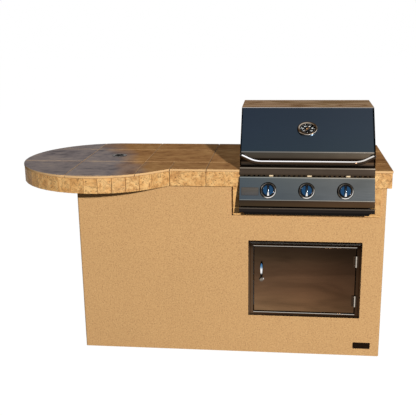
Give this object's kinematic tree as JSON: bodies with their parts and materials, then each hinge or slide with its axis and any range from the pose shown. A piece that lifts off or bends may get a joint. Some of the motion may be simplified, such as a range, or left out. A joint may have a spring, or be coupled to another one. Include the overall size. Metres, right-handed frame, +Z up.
{
  "type": "outdoor kitchen island",
  "caption": "Stucco barbecue island with a tiled counter, a round bar end, a built-in gas grill with a lifting hood and an access door.",
  "frame": {"origin": "on the floor, under the centre of the counter's bounding box", "axes": "+X along the counter from the round end to the grill end, +Y from the grill's front to the rear, +Z up"},
  "size_m": [1.75, 0.81, 1.1819],
  "materials": {
    "zinc_steel": "galvanised",
    "cement_board": "matt grey cement",
    "stucco": "matt fine-grained render",
    "vent_metal": "satin bronze paint",
    "top_tile": "satin stone-look",
    "edge_tile": "satin stone-look",
    "surround_tile": "satin stone-look",
    "grout": "matt",
    "door_frame_steel": "dark brushed",
    "door_steel": "brushed, dark reflections",
    "hinge_steel": "polished",
    "iron_pipe": "black enamel",
    "brass_fitting": "plain",
    "steel_tube": "plain",
    "valve_alloy": "cast",
    "plain_steel": "mill finish",
    "polished_steel": "polished",
    "panel_steel": "polished",
    "hood_steel": "polished",
    "handle_steel": "polished tube",
    "tray_steel": "polished",
    "knob_chrome": "bright",
    "latch_chrome": "bright",
    "grate_steel": "bright rod",
    "lamp_lens": "clear lens",
    "dial_face": "satin grey with printed scale",
    "dial_glass": "clear",
    "needle_paint": "black",
    "lever_paint": "red coat"
  },
  "bodies": {
    "island": {"burner_tubes": "plain_steel", "control_panel": "panel_steel", "cooking_grates": "grate_steel", "counter_deck": "cement_board", "door_frame": "door_frame_steel", "edge_tiles": "edge_tile", "end_boards": "cement_board", "end_vents": "vent_metal", "feed_tube": "steel_tube", "firebox_liner": "plain_steel", "firebox_shell": "plain_steel", "flame_tamers": "plain_steel", "frame_hinges": "hinge_steel", "frame_studs": "zinc_steel", "frame_tracks": "zinc_steel", "front_boards": "cement_board", "front_rail": "polished_steel", "gas_manifold": "steel_tube", "gas_valve_body": "brass_fitting", "grill_rim": "polished_steel", "grill_surround": "surround_tile", "hood_hinge_brackets": "plain_steel", "inlet_pipe": "iron_pipe", "knob_bezels": "knob_chrome", "knob_lights": "lamp_lens", "overhang_brackets": "zinc_steel", "rear_board": "cement_board", "stucco_skin": "stucco", "top_grout": "grout", "top_tiles": "top_tile", "tray_runners": "plain_steel", "umbrella_sleeve": "vent_metal", "valve_bodies": "valve_alloy", "warming_rack": "grate_steel"},
    "hood": {"hood_shell": "hood_steel", "hood_end_caps": "hood_steel", "hood_liner": "plain_steel", "hood_handle": "handle_steel", "thermometer_case": "knob_chrome", "thermometer_dial": "dial_face", "thermometer_lens": "dial_glass"},
    "needle": {"thermometer_needle": "needle_paint"},
    "door": {"door_panel": "door_steel", "door_back": "plain_steel", "door_hinge_leaves": "hinge_steel", "latch_rosette": "latch_chrome"},
    "latch": {"latch_lever": "latch_chrome", "latch_shaft_and_cam": "plain_steel"},
    "drip_tray": {"drip_tray": "tray_steel"},
    "gas_lever": {"gas_valve_lever": "lever_paint"},
    "plunger_left": {"valve_plunger_left": "valve_alloy"},
    "knob_left": {"knob_left": "knob_chrome", "valve_stem_left": "valve_alloy"},
    "plunger_middle": {"valve_plunger_middle": "valve_alloy"},
    "knob_middle": {"knob_middle": "knob_chrome", "valve_stem_middle": "valve_alloy"},
    "plunger_right": {"valve_plunger_right": "valve_alloy"},
    "knob_right": {"knob_right": "knob_chrome", "valve_stem_right": "valve_alloy"}
  },
  "joints": [
    {"name": "hood_lift", "type": "hinge", "parent": "island", "child": "hood", "pos_m": [0.495, 0.1624, 0.955], "axis": [-1, 0, 0], "range_deg": [0, 85]},
    {"name": "needle_turn", "type": "hinge", "parent": "hood", "child": "needle", "pos_m": [0.495, -0.1576, 1.08669], "axis": [0, 0.7973, -0.6035], "range_deg": [0, 270]},
    {"name": "door_swing", "type": "hinge", "parent": "island", "child": "door", "pos_m": [0.7315, -0.228, 0.385], "axis": [0, 0, 1], "range_deg": [0, 110]},
    {"name": "latch_turn", "type": "hinge", "parent": "door", "child": "latch", "pos_m": [0.295, -0.222, 0.385], "axis": [0, 1, 0], "range_deg": [0, 90]},
    {"name": "tray_slide", "type": "slide", "parent": "island", "child": "drip_tray", "axis": [0, -1, 0], "range_m": [0, 0.3]},
    {"name": "gas_lever_turn", "type": "hinge", "parent": "island", "child": "gas_lever", "pos_m": [0.767, 0.21, 0.3], "axis": [0, -1, 0], "range_deg": [0, 90]},
    {"name": "knob_push_left", "type": "slide", "parent": "island", "child": "plunger_left", "axis": [0, 0.9311, -0.3648], "range_m": [0, 0.003], "stiffness_N_per_m": 400},
    {"name": "knob_turn_left", "type": "hinge", "parent": "plunger_left", "child": "knob_left", "pos_m": [0.324, -0.26889, 0.82713], "axis": [0, -0.9311, 0.3648], "range_deg": [0, 225]},
    {"name": "knob_push_middle", "type": "slide", "parent": "island", "child": "plunger_middle", "axis": [0, 0.9311, -0.3648], "range_m": [0, 0.003], "stiffness_N_per_m": 400},
    {"name": "knob_turn_middle", "type": "hinge", "parent": "plunger_middle", "child": "knob_middle", "pos_m": [0.495, -0.26889, 0.82713], "axis": [0, -0.9311, 0.3648], "range_deg": [0, 225]},
    {"name": "knob_push_right", "type": "slide", "parent": "island", "child": "plunger_right", "axis": [0, 0.9311, -0.3648], "range_m": [0, 0.003], "stiffness_N_per_m": 400},
    {"name": "knob_turn_right", "type": "hinge", "parent": "plunger_right", "child": "knob_right", "pos_m": [0.666, -0.26889, 0.82713], "axis": [0, -0.9311, 0.3648], "range_deg": [0, 225]}
  ]
}
